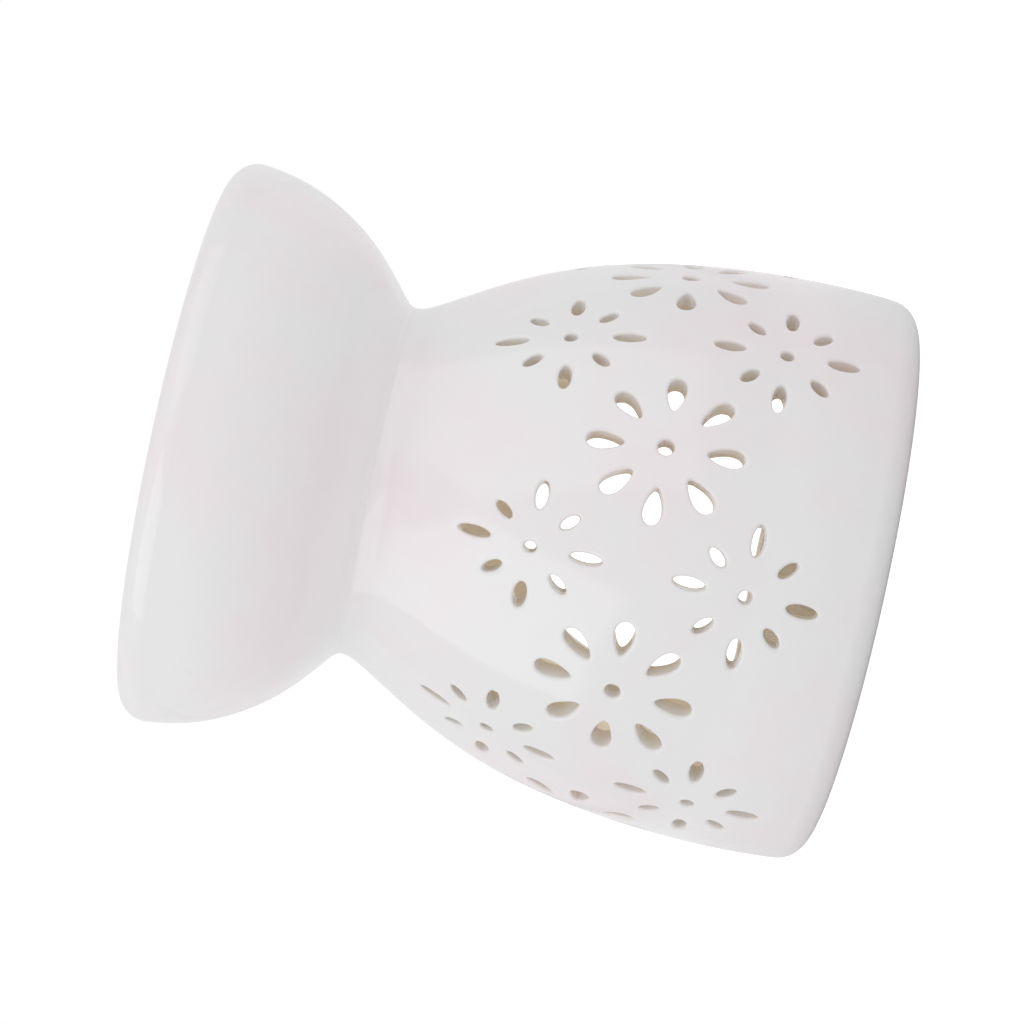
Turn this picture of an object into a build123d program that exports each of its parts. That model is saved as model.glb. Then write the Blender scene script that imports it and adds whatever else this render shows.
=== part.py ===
from build123d import *
import os
from math import cos, degrees, pi, radians, sin

# Ceramic tealight holder with a dish on top. A bell-shaped, pierced chamber stands on its foot and
# carries a bowl at a narrow waist. A tealight stands on the chamber's floor and goes in and out
# through the arch at the back.
# Millimetres. +Z is up, the foot stands on Z = 0 and the pot's axis is the Z axis. The front is -Y
# and the arch is at the back, on +Y.

# Driving dimensions of the two ceramic castings
total_height = 120.0
chamber_wall = 4.0            # measured square to the surface
bowl_wall = 4.6
waist_height = 84.8           # joint between the chamber and the bowl
waist_radius = 30.6
foot_radius = 49.3            # outside of the chamber just above the rounded foot
foot_corner = 4.8             # rounding between the wall and the standing face
foot_lean = 7.0               # degrees that the wall leans out where it leaves the foot
rim_radius = 49.3             # outside of the bowl just below the lip
rim_lean = 6.5                # degrees that the bowl leans out there
lip_corner = 4.5              # outside rounding of the lip
lip_inner_corner = 1.1
bowl_floor = 5.4              # thickness of the bowl's base
bowl_floor_edge = 90.0        # height where the dished floor of the bowl meets its side, outside
floor_top = 4.2               # upper face of the chamber's floor, where the tealight stands
floor_corner = 5.0            # cast rounding between the floor and the inside of the wall
foot_recess = 1.0             # the underside is hollowed so that only a ring stands
foot_ring_width = 7.0
foot_ring_slope = 1.0

# Points of the outside, as (radius, height): the chamber from its belly up towards the waist, and
# the bowl from the waist up towards its lip
chamber_points = [(49.85, 16.0), (48.62, 35.6), (45.15, 53.0), (38.0, 70.5), (32.2, 80.6)]
bowl_points = [(32.9, 87.5), (38.7, 92.6), (43.9, 99.2), (47.9, 107.9)]

# Flower piercings. A large flower has eight equal drops. A small flower has long and short leaves
# in turn. Each opening is cut straight at the pot's axis. Lengths run from the flower's middle,
# along a wall of cut_radius.
cut_radius = 49.0
petal_count = 8
large_flower_angles = [-75, -25, 25, 75]
large_flower_height = 39.2
small_flower_angles = [-100, -50, 0, 50, 100]
small_flower_heights = [22.2, 57.2]
large_eye_radius = 1.4
small_eye_radius = 1.17
drop_start, drop_end, drop_width = 6.8, 13.1, 3.2
drop_egg = 0.35               # how much fatter the outer half of a drop is than an oval's
drop_point_count = 16
long_leaf_start, long_leaf_end, long_leaf_width = 6.7, 12.1, 2.36
short_leaf_start, short_leaf_end, short_leaf_width = 6.0, 9.9, 2.1
cutter_start, cutter_end = 25.0, 56.0       # distances from the axis between which cutters run

# Arch at the back
arch_half_width = 28.5
arch_sill = 14.5
arch_spring = 32.0            # height where the straight sides turn into the round top
arch_corner = 6.0
arch_depth_start, arch_depth_end = 20.0, 56.0

# Tealight, with heights above the underside of its cup
cup_radius = 19.0             # over the rolled edge
cup_base_radius = 17.8
cup_base_corner = 0.8
cup_height = 12.0
cup_sheet = 0.3
cup_roll = 0.45               # radius of the rolled edge's section
wax_level = 9.6
wax_sink = 0.6                # how far the wax has sunk between the cup and the wick
wax_sink_radius = 10.0
sustainer_radius = 6.0
sustainer_neck_radius = 1.15
sustainer_neck_top = 4.0
wick_radius = 0.8
wick_top = 15.5

os.makedirs("parts", exist_ok=True)


def turned(edges):
    """Solid of revolution about Z from a closed outline of edges drawn as (radius, height)."""
    return revolve(make_face([Plane.XZ * edge for edge in edges]), Axis.Z)


def place_at_height(curve, height):
    """Parameter at which a rising curve passes a height."""
    low, high = 0.0, 1.0
    while high - low > 1e-6:
        middle = (low + high) / 2
        if (curve @ middle).Y < height:
            low = middle
        else:
            high = middle
    return low


def inset_spline(curve, distance, first_height, count=10):
    """Spline at a fixed distance inside a rising curve, from a height on it up to its end."""
    start = place_at_height(curve, first_height)
    points = []
    for index in range(count):
        place = start + (1 - start) * index / (count - 1)
        point, along = curve @ place, curve % place
        points.append((point.X - along.Y * distance, point.Y + along.X * distance))
    return Spline(*points)


def on_wall(angle, height):
    """Plane that faces out of the wall, at an angle from the front and a height."""
    out = (sin(radians(angle)), -cos(radians(angle)), 0)
    along = (cos(radians(angle)), sin(radians(angle)), 0)
    return Plane(origin=(0, 0, height), x_dir=along, z_dir=out)


def drop():
    """Egg-shaped opening along +X, with its narrow end towards the flower's middle."""
    middle, half_length = (drop_start + drop_end) / 2, (drop_end - drop_start) / 2
    points = []
    for index in range(drop_point_count):
        turn = 2 * pi * index / drop_point_count
        half_width = drop_width / 2 * (1 + drop_egg * cos(turn))
        points.append((middle + half_length * cos(turn), half_width * sin(turn)))
    return make_face([Spline(*points, periodic=True)])


def leaf(start, end, width):
    """Oval opening along +X."""
    return Pos((start + end) / 2, 0) * Ellipse((end - start) / 2, width / 2)


def cutter(opening, turn, angle, height):
    """Cutter for one opening that is turned about its flower's middle, at a place on the wall."""
    turned_opening = Rot(0, 0, turn) * opening
    middle = turned_opening.bounding_box().center()
    centred = Pos(-middle.X, -middle.Y) * turned_opening
    wall = on_wall(angle + degrees(middle.X / cut_radius), height + middle.Y)
    return extrude(wall.offset(cutter_start) * centred, amount=cutter_end - cutter_start)


def flower_cutters(angle, height, eye_radius, petals):
    """Cutters of one flower: its eye, and its petals in turn all the way round."""
    cutters = [cutter(Circle(eye_radius), 0, angle, height)]
    for index in range(petal_count):
        turn = 360 * index / petal_count
        cutters.append(cutter(petals[index % len(petals)], turn, angle, height))
    return cutters


def all_flower_cutters():
    cutters = []
    for angle in large_flower_angles:
        cutters += flower_cutters(angle, large_flower_height, large_eye_radius, [drop()])
    leaves = [
        leaf(long_leaf_start, long_leaf_end, long_leaf_width),
        leaf(short_leaf_start, short_leaf_end, short_leaf_width),
    ]
    for angle in small_flower_angles:
        for height in small_flower_heights:
            cutters += flower_cutters(angle, height, small_eye_radius, leaves)
    return cutters


def arch_cutter():
    """Cutter for the arch: a round top on straight sides, with rounded corners at the sill."""
    side, inner = arch_half_width, arch_half_width - arch_corner
    corner_height = arch_sill + arch_corner
    opening = make_face([
        ThreePointArc((side, arch_spring), (0, arch_spring + side), (-side, arch_spring)),
        Line((-side, arch_spring), (-side, corner_height)),
        CenterArc((-inner, corner_height), arch_corner, 180, 90),
        Line((-inner, arch_sill), (inner, arch_sill)),
        CenterArc((inner, corner_height), arch_corner, 270, 90),
        Line((side, corner_height), (side, arch_spring)),
    ])
    back = Plane(origin=(0, arch_depth_start, 0), x_dir=(-1, 0, 0), z_dir=(0, 1, 0))
    return extrude(back * opening, amount=arch_depth_end - arch_depth_start)


def pierced_chamber():
    """Bell-shaped casting with its floor and foot ring, open at the top, pierced and arched."""
    corner_centre = (foot_radius - foot_corner, foot_corner)
    foot = CenterArc(corner_centre, foot_corner, -90, 90 - foot_lean)
    lean = (sin(radians(foot_lean)), cos(radians(foot_lean)))
    waist = (waist_radius, waist_height)
    outside = Spline(foot @ 1, *chamber_points, waist, tangents=(lean, (0, 1)))
    inside = inset_spline(outside, chamber_wall, floor_top + floor_corner)
    wall_start = inside @ 0
    floor_edge = (wall_start.X - floor_corner, floor_top)
    ring_inside = foot_radius - foot_corner - foot_ring_width
    body = turned([
        Line((0, foot_recess), (ring_inside - foot_ring_slope, foot_recess)),
        Line((ring_inside - foot_ring_slope, foot_recess), (ring_inside, 0)),
        Line((ring_inside, 0), foot @ 0),
        foot,
        outside,
        Line(waist, inside @ 1),
        inside,
        TangentArc(floor_edge, wall_start, tangent=(1, 0)),
        Line(floor_edge, (0, floor_top)),
        Line((0, floor_top), (0, foot_recess)),
    ])
    return body - [arch_cutter()] - all_flower_cutters()


def oil_bowl():
    """Bowl whose base closes the chamber, with a thick rounded lip."""
    lip = CenterArc((rim_radius - lip_corner, total_height - lip_corner), lip_corner,
                    -rim_lean, 90 + rim_lean)
    lean = (sin(radians(rim_lean)), cos(radians(rim_lean)))
    waist = (waist_radius, waist_height)
    outside = Spline(waist, *bowl_points, lip @ 0, tangents=((0, 1), lean))
    inner_corner_centre = (rim_radius - lip_corner, total_height - lip_inner_corner)
    inner_lip = CenterArc(inner_corner_centre, lip_inner_corner, 90, 90)
    side = inset_spline(outside, bowl_wall, bowl_floor_edge)
    side_end = side @ 1
    dish_middle = (0, waist_height + bowl_floor)
    return turned([
        Line((0, waist_height), waist),
        outside,
        lip,
        inner_lip,
        Line(inner_lip @ 1, side_end),
        side,
        Spline(dish_middle, side @ 0, tangents=((1, 0), side % 0)),
        Line(dish_middle, (0, waist_height)),
    ])


def cup_wall(inset):
    """Base, corner and side of the drawn cup as edges, inset from its outside by a distance."""
    base_radius = cup_base_radius - inset
    corner = cup_base_corner - inset
    middle = (base_radius - corner, cup_base_corner)
    side_top = (cup_radius - 2 * cup_roll + cup_sheet - inset, cup_height - cup_roll)
    return [
        Line((0, inset), (middle[0], inset)),
        CenterArc(middle, corner, -90, 90),
        Line((base_radius, cup_base_corner), side_top),
    ]


def tealight_cup():
    """Drawn sheet cup with a rolled edge."""
    outside, inside = cup_wall(0), cup_wall(cup_sheet)
    sheet = turned([
        *outside,
        Line(outside[-1] @ 1, inside[-1] @ 1),
        *inside,
        Line((0, cup_sheet), (0, 0)),
    ])
    roll = Torus(cup_radius - cup_roll, cup_roll)
    return sheet + Pos(0, 0, cup_height - cup_roll) * roll


def wick_sustainer():
    """Stamped disc on the cup's base, with a neck that grips the wick."""
    disc = extrude(Circle(sustainer_radius), amount=cup_sheet)
    neck = extrude(Circle(sustainer_neck_radius), amount=sustainer_neck_top - cup_sheet)
    bore = extrude(Circle(wick_radius), amount=sustainer_neck_top)
    return Pos(0, 0, cup_sheet) * (disc + neck - bore)


def wick():
    return Pos(0, 0, cup_sheet) * extrude(Circle(wick_radius), amount=wick_top - cup_sheet)


def tealight_wax():
    """Wax that fills the cup round the sustainer and the wick, slightly sunk on top."""
    base, corner, side = cup_wall(cup_sheet)
    level = place_at_height(side, wax_level)
    wax_side = Line(side @ 0, side @ level)
    top = Spline(side @ level, (wax_sink_radius, wax_level - wax_sink), (0, wax_level))
    fill = turned([base, corner, wax_side, top, Line((0, wax_level), (0, cup_sheet))])
    return fill - wick_sustainer() - wick()


def main():
    seat = Pos(0, 0, floor_top)
    pieces = {
        "pierced_chamber": pierced_chamber(),
        "oil_bowl": oil_bowl(),
        "tealight_cup": seat * tealight_cup(),
        "tealight_wax": seat * tealight_wax(),
        "wick_sustainer": seat * wick_sustainer(),
        "wick": seat * wick(),
    }
    for name, piece in pieces.items():
        piece.label = name
        export_step(piece, f"parts/{name}.step")


main()
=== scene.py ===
import math
import random

import bpy
import numpy as np
from mathutils import Matrix, Vector
from mathutils.geometry import delaunay_2d_cdt


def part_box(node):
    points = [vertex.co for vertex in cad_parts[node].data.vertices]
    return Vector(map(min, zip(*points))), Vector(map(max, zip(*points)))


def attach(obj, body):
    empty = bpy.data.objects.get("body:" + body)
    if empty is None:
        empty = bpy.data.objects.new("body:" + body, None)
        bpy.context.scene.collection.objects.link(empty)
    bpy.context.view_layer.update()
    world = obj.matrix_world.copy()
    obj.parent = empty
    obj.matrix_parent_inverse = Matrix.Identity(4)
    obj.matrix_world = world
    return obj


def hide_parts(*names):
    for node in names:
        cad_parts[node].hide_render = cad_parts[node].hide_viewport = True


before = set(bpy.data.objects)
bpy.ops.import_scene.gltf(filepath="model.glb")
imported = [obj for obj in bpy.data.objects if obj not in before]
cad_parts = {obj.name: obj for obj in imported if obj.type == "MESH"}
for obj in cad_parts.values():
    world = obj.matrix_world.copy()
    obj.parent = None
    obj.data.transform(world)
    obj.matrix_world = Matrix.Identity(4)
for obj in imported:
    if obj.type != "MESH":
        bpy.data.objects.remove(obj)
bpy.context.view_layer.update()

# Looks of a white glazed ceramic tealight holder: a bell-shaped, pierced chamber that carries a bowl
# at its waist, with a tealight standing inside. Shapes are worked out in millimetres, in the frame's
# axes, and scaled to metres when a mesh is made. Angles run round the pot from its front (-Y), and
# are positive towards +X. A wall is drawn as a sheet of (along, height), where along is an angle
# times CUT_RADIUS.

MM = 0.001
FULL_TURN = 2 * math.pi


def cad_size(node, corner, axis):
    """A coordinate of one corner of a CAD node's box, in millimetres."""
    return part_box(node)[corner][axis] / MM


# Ceramic castings
TOTAL_HEIGHT = cad_size("oil_bowl", 1, 2)
WAIST_HEIGHT = cad_size("oil_bowl", 0, 2)
WAIST_RADIUS = 30.6
CHAMBER_WALL = 4.0
BOWL_WALL = 4.6
FOOT_RADIUS = 49.3
FOOT_CORNER = 4.8
FOOT_LEAN = math.radians(7.0)
RIM_RADIUS = cad_size("oil_bowl", 1, 0)
RIM_LEAN = math.radians(6.5)
LIP_CORNER = 4.5
LIP_INNER_CORNER = 1.1
LIP_BLEND = 9.0  # height over which the inside of the lip runs into the bowl's side
BOWL_FLOOR = 5.4
BOWL_FLOOR_EDGE = 90.0
FLOOR_TOP = cad_size("tealight_cup", 0, 2)
FLOOR_CORNER = 5.0
FOOT_RECESS = 1.0
FOOT_RING_WIDTH = 7.0
# From the inner edge of the ring that the pot stands on up to the recess, as (inward, up)
RECESS_STEP = [(-0.4, 0), (0, 0.12), (0.5, 0.55), (0.9, 0.92), (1.5, FOOT_RECESS)]
SEAM_ROUNDING = 0.03  # edges of the two castings at the waist, filled flush with glaze
CHAMBER_POINTS = [(49.85, 16.0), (48.62, 35.6), (45.15, 53.0), (38.0, 70.5), (32.2, 80.6)]
BOWL_POINTS = [(32.9, 87.5), (38.7, 92.6), (43.9, 99.2), (47.9, 107.9)]

# Piercings
CUT_RADIUS = 49.0
PETAL_COUNT = 8
LARGE_FLOWER_ANGLES = [-75, -25, 25, 75]
LARGE_FLOWER_HEIGHT = 39.2
SMALL_FLOWER_ANGLES = [-100, -50, 0, 50, 100]
SMALL_FLOWER_HEIGHTS = [22.2, 57.2]
# Openings as (start, end, width, egg): how far from the flower's middle, and how much fatter the
# outer half is than an oval's
LARGE_EYE = (-1.4, 1.4, 2.8, 0)
SMALL_EYE = (-1.17, 1.17, 2.34, 0)
DROP = (6.8, 13.1, 3.2, 0.35)
LONG_LEAF = (6.7, 12.1, 2.36, 0)
SHORT_LEAF = (6.0, 9.9, 2.1, 0)
OPENING_SIDES = 32
GLAZE_BUILD = 0.12  # thickness of glaze on the cut edge of an opening
RIM_ROUNDING = 0.6  # how far the glaze rounds the outer edge of an opening
INNER_RIM_ROUNDING = 0.45
RIM_STEPS = 4
WALL_STEPS = 3
RIM_THINNING = 0.2  # finish where a rounded edge meets the cut: 0 is thick glaze, 1 thin
GUARD_GAP = 0.6  # distance of an extra ring of points round each opening
HAND_CUT = 0.035  # how much the size of a hand-finished opening varies
HAND_TURN = math.radians(2.0)
CUT_SEED = 7
ROW_BOW = 0.6  # how far each row of flowers rises, at ROW_BOW_ANGLE from the front
ROW_BOW_ANGLE = 50
ROW_BOW_END = 60  # the rows rise no further beyond this angle

# Arch at the back
ARCH_HALF_WIDTH = 28.5
ARCH_SILL = 14.5
ARCH_SPRING = 32.0
ARCH_CORNER = 6.0
ARCH_ROUNDING = 1.3
ARCH_STEP = 1.0  # spacing of points round the arch

# Mesh
COLUMNS = 240
ROW_STEP = 1.25
SHEET_NEARNESS = 1e-5  # points of a sheet nearer than this would be one
SHEET_EDGE_GAP = 0.2  # guard rings nearer than this to a sheet's end are left out
SEAM_ANGLE = math.radians(130)  # a meridian that no opening crosses
UNEVENNESS = 0.06  # how far the walls wander from true, in and out
UNEVEN_EDGE = 6.0  # distance over which the wandering fades out at a wall's ends
# Its waves as (count round the pot, height to a radian of turn, phase, size)
UNEVEN_WAVES = [(2, 17, 0.6, 1), (3, -11, 2.1, 0.8), (5, 8, 0, 0.6), (7, -6, 1.3, 0.5)]


# Curves

def cubic(t, start, first, end, last):
    """Cubic from start to end, for t from 0 to 1, with given slopes at its two ends."""
    return (start * (2 * t**3 - 3 * t**2 + 1) + first * (t**3 - 2 * t**2 + t)
            + end * (3 * t**2 - 2 * t**3) + last * (t**3 - t**2))


def radius_curve(points, start_slope, end_slope):
    """Radius at each height: a cubic spline through (radius, height) points with given end slopes."""
    y, x = np.array(points, float).T
    gap, rise = np.diff(x), np.diff(y) / np.diff(x)
    count = len(x)
    matrix, right = np.zeros((count, count)), np.zeros(count)
    matrix[0, 0] = matrix[-1, -1] = 1
    right[0], right[-1] = start_slope, end_slope
    for i in range(1, count - 1):
        matrix[i, i - 1:i + 2] = gap[i], 2 * (gap[i - 1] + gap[i]), gap[i - 1]
        right[i] = 3 * (gap[i] * rise[i - 1] + gap[i - 1] * rise[i])
    slopes = np.linalg.solve(matrix, right)

    def curve(height):
        height = np.clip(height, x[0], x[-1])
        i = np.clip(np.searchsorted(x, height) - 1, 0, count - 2)
        t = (height - x[i]) / gap[i]
        return cubic(t, y[i], slopes[i] * gap[i], y[i + 1], slopes[i + 1] * gap[i])

    return curve


def inset_curve(curve, distance, low, high, samples=600):
    """The curve a fixed distance inside a radius curve, as a radius at each height."""
    heights = np.linspace(low, high, samples)
    radii = curve(heights)
    slopes = np.gradient(radii, heights)
    length = np.sqrt(1 + slopes**2)
    inner_heights = heights + distance * slopes / length
    inner_radii = radii - distance / length

    def inner(height):
        return np.interp(height, inner_heights, inner_radii)

    return inner


def arc_points(centre, radius, start, end, steps):
    """Points of an arc in (radius, height), with angles from outward towards up."""
    angles = np.radians(np.linspace(start, end, steps + 1))
    return [(centre[0] + radius * math.cos(a), centre[1] + radius * math.sin(a)) for a in angles]


def unit(vectors):
    """The vectors at a length of 1."""
    return vectors / np.linalg.norm(vectors, axis=-1, keepdims=True)


def smooth_step(value):
    """Goes from 0 to 1 with level ends, and stays there outside them."""
    value = np.clip(value, 0, 1)
    return value * value * (3 - 2 * value)


def wander(angle, height, low, high):
    """Slight unevenness of a cast and sponged wall. It fades out at the wall's two edges."""
    fade = smooth_step((height - low) / UNEVEN_EDGE) * smooth_step((high - height) / UNEVEN_EDGE)
    wave = sum(size * np.sin(count * angle + height / rise + phase)
               for count, rise, phase, size in UNEVEN_WAVES)
    return UNEVENNESS * (wave / sum(size for *_, size in UNEVEN_WAVES) - 1) * fade


FOOT_TOP = FOOT_CORNER * (1 - math.sin(FOOT_LEAN))
FOOT_EDGE = FOOT_RADIUS - FOOT_CORNER * (1 - math.cos(FOOT_LEAN))
SHEET_TOP = WAIST_HEIGHT - SEAM_ROUNDING
INNER_FOOT_TOP = FLOOR_TOP + FLOOR_CORNER
chamber_outline = [(FOOT_EDGE, FOOT_TOP), *CHAMBER_POINTS, (WAIST_RADIUS, WAIST_HEIGHT)]
chamber_outside = radius_curve(chamber_outline, math.tan(FOOT_LEAN), 0)
chamber_inside = inset_curve(chamber_outside, CHAMBER_WALL, FOOT_TOP, WAIST_HEIGHT)


# Surfaces of the chamber's wall

def outer_radius(angle, height):
    """Radius of the wall's outside."""
    return chamber_outside(height) + wander(angle, height, FOOT_TOP, SHEET_TOP)


def inner_radius(angle, height):
    """Radius of the wall's inside, which is half as uneven."""
    return chamber_inside(height) + wander(angle + 1, height, INNER_FOOT_TOP, SHEET_TOP) / 2


def place_round(radius, angle, height):
    """Points at a radius, an angle from the front and a height."""
    return np.stack([radius * np.sin(angle), -radius * np.cos(angle), height + 0 * angle], -1)


def surface_normals(radius_at, angle, height):
    """Unit normals of a surface of given radius, pointing away from the axis."""
    step = 1e-3
    across = (place_round(radius_at(angle + step, height), angle + step, height)
              - place_round(radius_at(angle - step, height), angle - step, height))
    up = (place_round(radius_at(angle, height + step), angle, height + step)
          - place_round(radius_at(angle, height - step), angle, height - step))
    return unit(np.cross(across, up))


# Openings, each as a ring of (along, height) points with outward directions in that sheet

def oval_ring(opening):
    """Egg-shaped ring along the first axis and its outward directions."""
    start, end, width, egg = opening
    turn = np.arange(OPENING_SIDES) * FULL_TURN / OPENING_SIDES
    middle, half = (start + end) / 2, (end - start) / 2
    x = middle + half * np.cos(turn)
    y = width / 2 * np.sin(turn) * (1 + egg * np.cos(turn))
    dx = -half * np.sin(turn)
    dy = width / 2 * (np.cos(turn) * (1 + egg * np.cos(turn)) - egg * np.sin(turn) ** 2)
    return np.stack([x, y], -1), unit(np.stack([dy, -dx], -1))


def hand_cut(opening, chance):
    """The opening with the small differences in size that each hand-finished cut has."""
    start, end, width, egg = opening
    vary = [1 + chance.uniform(-HAND_CUT, HAND_CUT) for _ in range(3)]
    middle, half = (start + end) / 2, (end - start) / 2
    if start > 0:
        middle = middle * vary[0]
    half = half * vary[1] - GLAZE_BUILD
    return middle - half, middle + half, width * vary[2] - 2 * GLAZE_BUILD, egg


def row_bow(angle):
    """How far a flower sits above its row's height. The rows were marked out by eye."""
    return ROW_BOW * (min(abs(angle), ROW_BOW_END) / ROW_BOW_ANGLE) ** 2 - ROW_BOW / 3


def flower(angle, row_height, eye, petals, chance):
    """Rings of one flower: its eye, then its petals in turn."""
    centre = np.array([math.radians(angle) * CUT_RADIUS, row_height + row_bow(angle)])
    rings = []
    shapes = [eye] + [petals[i % len(petals)] for i in range(PETAL_COUNT)]
    turns = [0] + [FULL_TURN * i / PETAL_COUNT for i in range(PETAL_COUNT)]
    for shape, turn in zip(shapes, turns):
        ring, out = oval_ring(hand_cut(shape, chance))
        turn += chance.uniform(-HAND_TURN, HAND_TURN)
        rotate = np.array([[math.cos(turn), math.sin(turn)], [-math.sin(turn), math.cos(turn)]])
        rings.append((ring @ rotate + centre, out @ rotate))
    return rings


def all_flowers():
    """Rings of every flower, the large ones first."""
    chance = random.Random(CUT_SEED)
    rings = []
    for angle in LARGE_FLOWER_ANGLES:
        rings += flower(angle, LARGE_FLOWER_HEIGHT, LARGE_EYE, [DROP], chance)
    for angle in SMALL_FLOWER_ANGLES:
        for height in SMALL_FLOWER_HEIGHTS:
            rings += flower(angle, height, SMALL_EYE, [LONG_LEAF, SHORT_LEAF], chance)
    return rings


def arch_ring():
    """Ring of the arch in (x, height), with outward directions."""
    side, corner, sill = ARCH_HALF_WIDTH, ARCH_CORNER, ARCH_SILL
    inner = side - corner
    points, outs = [], []

    def add_arc(centre, radius, start, end):
        steps = max(2, round(abs(end - start) * radius / ARCH_STEP))
        for i in range(steps):
            a = start + (end - start) * i / steps
            points.append((centre[0] + radius * math.cos(a), centre[1] + radius * math.sin(a)))
            outs.append((math.cos(a), math.sin(a)))

    def add_line(start, end, out):
        steps = max(1, round(math.dist(start, end) / ARCH_STEP))
        for i in range(steps):
            t = i / steps
            points.append((start[0] + (end[0] - start[0]) * t, start[1] + (end[1] - start[1]) * t))
            outs.append(out)

    quarter = math.pi / 2
    add_arc((0, ARCH_SPRING), side, 0, 2 * quarter)
    add_line((-side, ARCH_SPRING), (-side, sill + corner), (-1, 0))
    add_arc((-inner, sill + corner), corner, 2 * quarter, 3 * quarter)
    add_line((-inner, sill), (inner, sill), (0, -1))
    add_arc((inner, sill + corner), corner, 3 * quarter, 4 * quarter)
    add_line((side, sill + corner), (side, ARCH_SPRING), (1, 0))
    return np.array(points), np.array(outs)


def angle_behind(x, radius):
    """Angle from the front of a point at x on the back of a surface, below -90 degrees."""
    return -math.pi - np.arcsin(x / radius)


# Mesh building

def new_object(name, data):
    """Makes an object in the scene."""
    made = bpy.data.objects.new(name, data)
    bpy.context.scene.collection.objects.link(made)
    return made


class Builder:
    """Collects points, their normals and finish, and faces."""

    def __init__(self):
        self.points, self.normals, self.finish, self.faces, self.count = [], [], [], [], 0

    def add(self, points, normals, finish):
        """Adds points and returns their numbers. Finish is 0 where the glaze is thick and 1 where
        it is thin."""
        start = self.count
        self.points.append(points)
        self.normals.append(normals)
        self.finish.append(np.zeros(len(points)) + finish)
        self.count += len(points)
        return np.arange(start, self.count)

    def skin(self, rings, flip=False):
        """Closed bands of quads between each ring and the next, which have as many points."""
        for first, second in zip(rings, rings[1:]):
            quads = np.stack([first, np.roll(first, -1), np.roll(second, -1), second], -1)
            self.faces += (quads[:, ::-1] if flip else quads).tolist()

    def cap(self, ring, tip, normal, finish=0, flip=False):
        """Closes a ring with triangles to a new point."""
        middle = self.add(np.array([tip]), np.array([normal]), finish)
        faces = np.stack([ring, np.roll(ring, -1), np.full(len(ring), middle)], -1)
        self.faces += (faces[:, ::-1] if flip else faces).tolist()

    def piece(self, name, material):
        """Makes the object, with smooth shading from the collected normals."""
        used = np.unique(np.concatenate([np.array(face) for face in self.faces]))
        number = np.zeros(self.count, int)
        number[used] = np.arange(len(used))
        faces = [number[face].tolist() for face in self.faces]
        mesh = bpy.data.meshes.new(name)
        mesh.from_pydata((np.concatenate(self.points)[used] * MM).tolist(), [], faces)
        mesh.shade_smooth()
        finish = mesh.attributes.new("thin_glaze", "FLOAT", "POINT")
        finish.data.foreach_set("value", np.concatenate(self.finish)[used])
        mesh.normals_split_custom_set_from_vertices(np.concatenate(self.normals)[used].tolist())
        mesh.materials.append(material)
        return new_object(name, mesh)


def inside_ring(points, ring):
    """Which points lie inside a closed ring, by the even-odd rule."""
    x, y = points[:, :1], points[:, 1:]
    x0, y0 = ring[:, 0], ring[:, 1]
    x1, y1 = np.roll(x0, -1), np.roll(y0, -1)
    crosses = (y0 > y) != (y1 > y)
    rise = np.where(y1 == y0, 1, y1 - y0)
    return (crosses & (x < x0 + (y - y0) * (x1 - x0) / rise)).sum(1) % 2 == 1


def sheet_grid(low, high):
    """Staggered points of a wall sheet: those on its four edges, the rest, and how far along its
    right edge is. Each row's left end comes just before its right end."""
    width, right = FULL_TURN * CUT_RADIUS, SEAM_ANGLE * CUT_RADIUS
    left, step = right - width, width / COLUMNS
    rows = max(2, round((high - low) / ROW_STEP))
    edge, middle = [], []
    for row in range(rows + 1):
        height = low + (high - low) * row / rows
        at_end = row in (0, rows)
        shift = 0.5 if row % 2 and not at_end else 0
        for column in range(0 if shift else 1, COLUMNS):
            (edge if at_end else middle).append((left + (column + shift) * step, height))
        edge += [(left, height), (right, height)]
    return np.array(edge), np.array(middle), right


def clear_of_guards(points, guards):
    """The points that lie outside every guard ring."""
    for guard in guards:
        near = np.all((points > guard.min(0)) & (points < guard.max(0)), 1)
        near[near] = inside_ring(points[near], guard)
        points = points[~near]
    return points


def triangulate(flat, rings):
    """Triangles between the points of a sheet, the last of which are the rings of its openings,
    and the number of each ring's first point."""
    opening = np.full(len(flat), -1)
    links, starts = [], []
    start = len(flat) - sum(len(ring) for ring in rings)
    for number, ring in enumerate(rings):
        count = len(ring)
        opening[start:start + count] = number
        links += [(start + i, start + (i + 1) % count) for i in range(count)]
        starts.append(start)
        start += count
    _, _, triangles, sources, _, _ = delaunay_2d_cdt(
        [Vector(point) for point in flat.tolist()], links, [], 0, SHEET_NEARNESS)
    source = np.array([found[0] for found in sources])
    triangles = source[np.array(triangles)]
    first = opening[triangles[:, :1]]
    within = (opening[triangles] == first).all(1) & (first[:, 0] >= 0)
    return triangles[~within], starts


def end_row(flat, height, right):
    """The points of a sheet's bottom or top row, in order of angle."""
    row = np.flatnonzero(np.isclose(flat[:, 1], height) & (flat[:, 0] != right))
    return row[np.argsort(flat[row, 0])]


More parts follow.
